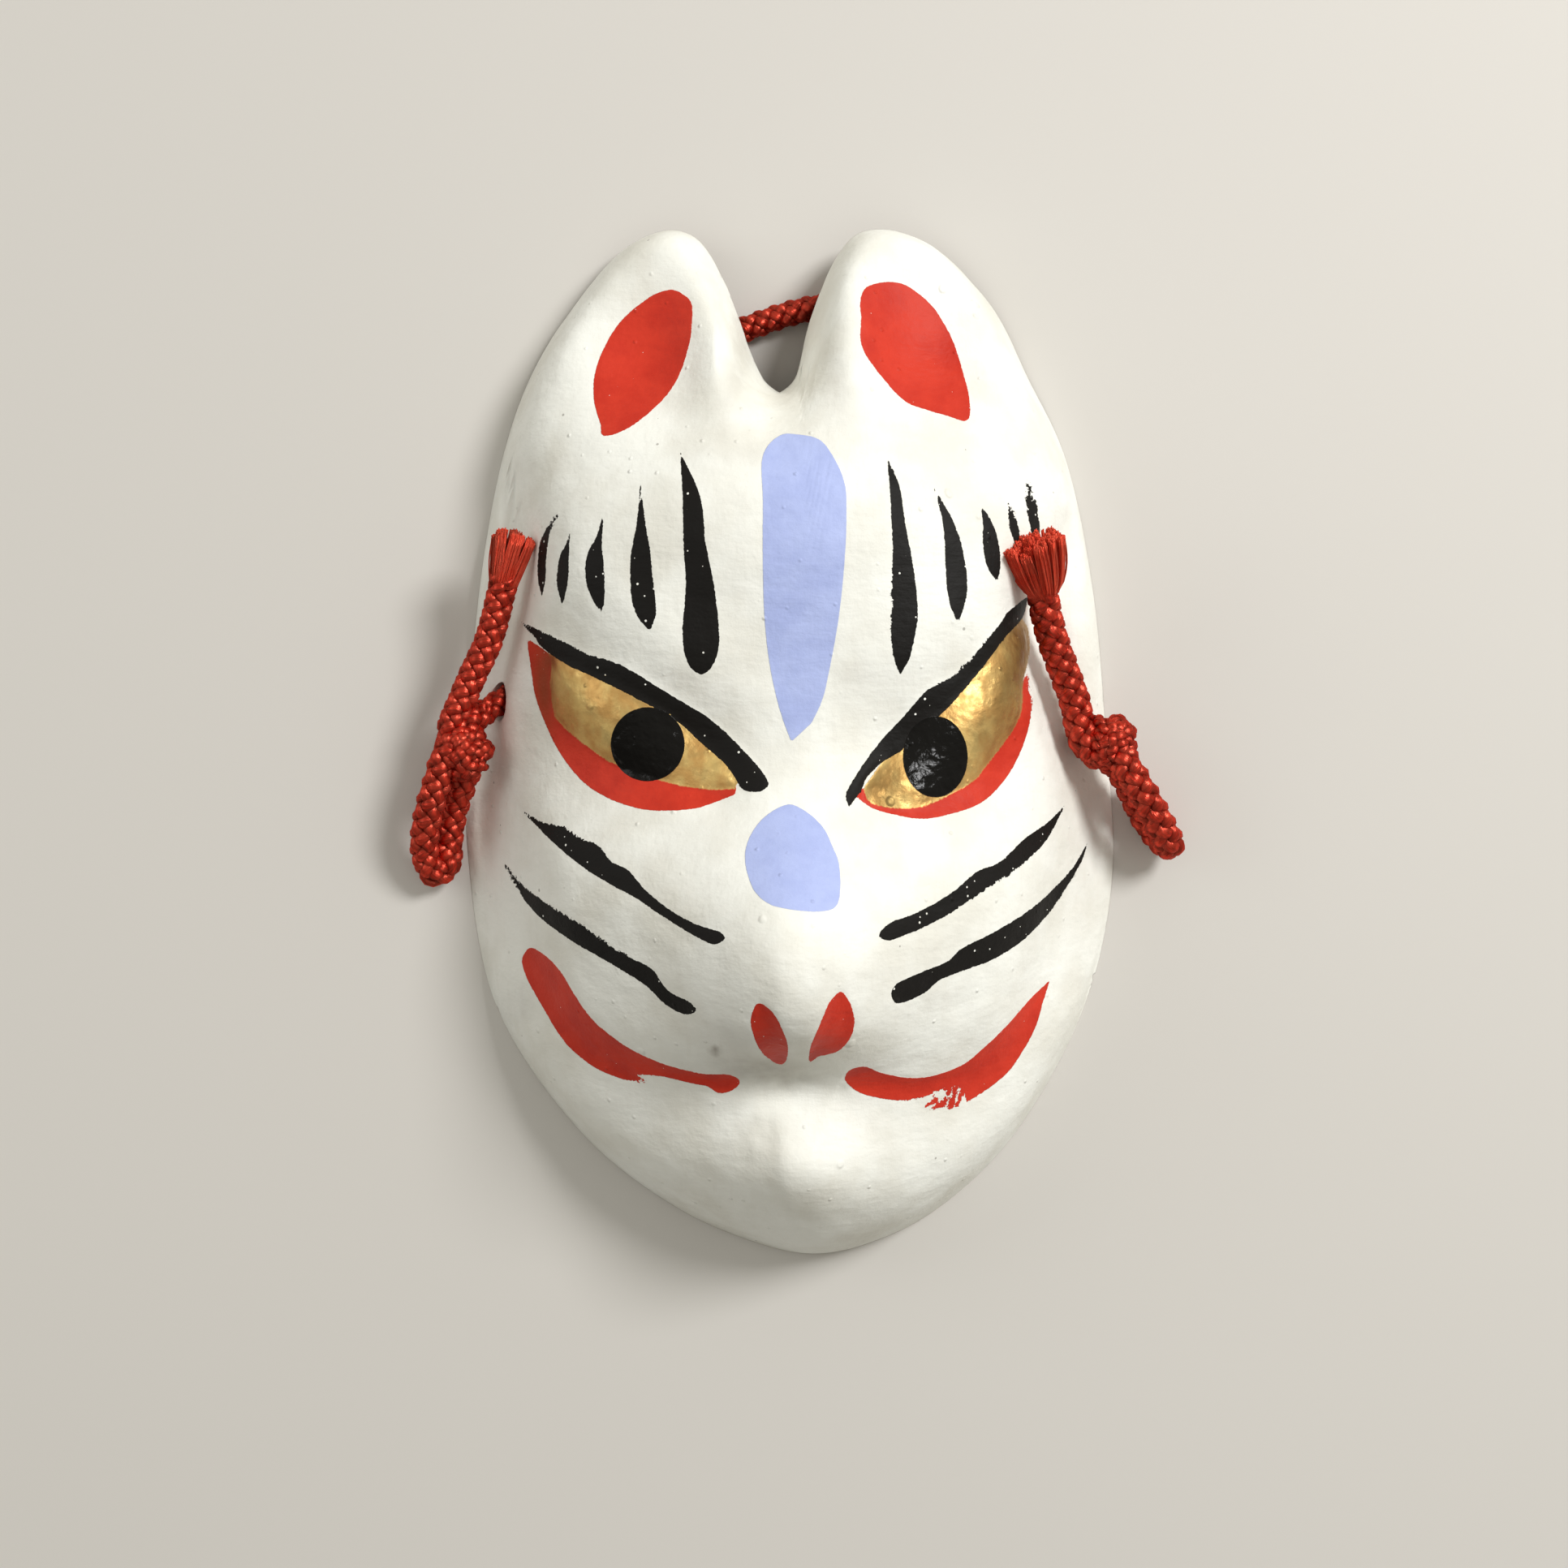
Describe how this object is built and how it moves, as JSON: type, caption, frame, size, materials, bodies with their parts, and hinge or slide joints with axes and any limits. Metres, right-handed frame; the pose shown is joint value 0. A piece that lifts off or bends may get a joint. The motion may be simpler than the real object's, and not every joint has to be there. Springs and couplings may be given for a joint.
{
  "type": "fox mask",
  "caption": "Small hand-painted papier-mâché fox mask, lying face up, with a red braided hanging cord knotted through a hole at each cheek.",
  "frame": {"origin": "under the middle of the mask's own box, on the surface that its rim lies on", "axes": "+X to the right of the face as it is looked at, +Y from the chin to the ears, +Z out of the face"},
  "size_m": [0.1125, 0.1508, 0.0449],
  "materials": {
    "papier_mache": "papier-mâché under matt white gofun, painted by hand in black, vermilion, pale blue and gold",
    "braided_cord": "eight-strand braided rayon cord, soft sheen"
  },
  "bodies": {
    "root": {"mask_shell": "papier_mache", "hanging_cord": "braided_cord", "left_knot": "braided_cord", "left_loop": "braided_cord", "left_tail": "braided_cord", "right_knot": "braided_cord", "right_loop": "braided_cord", "right_tail": "braided_cord"}
  },
  "joints": []
}
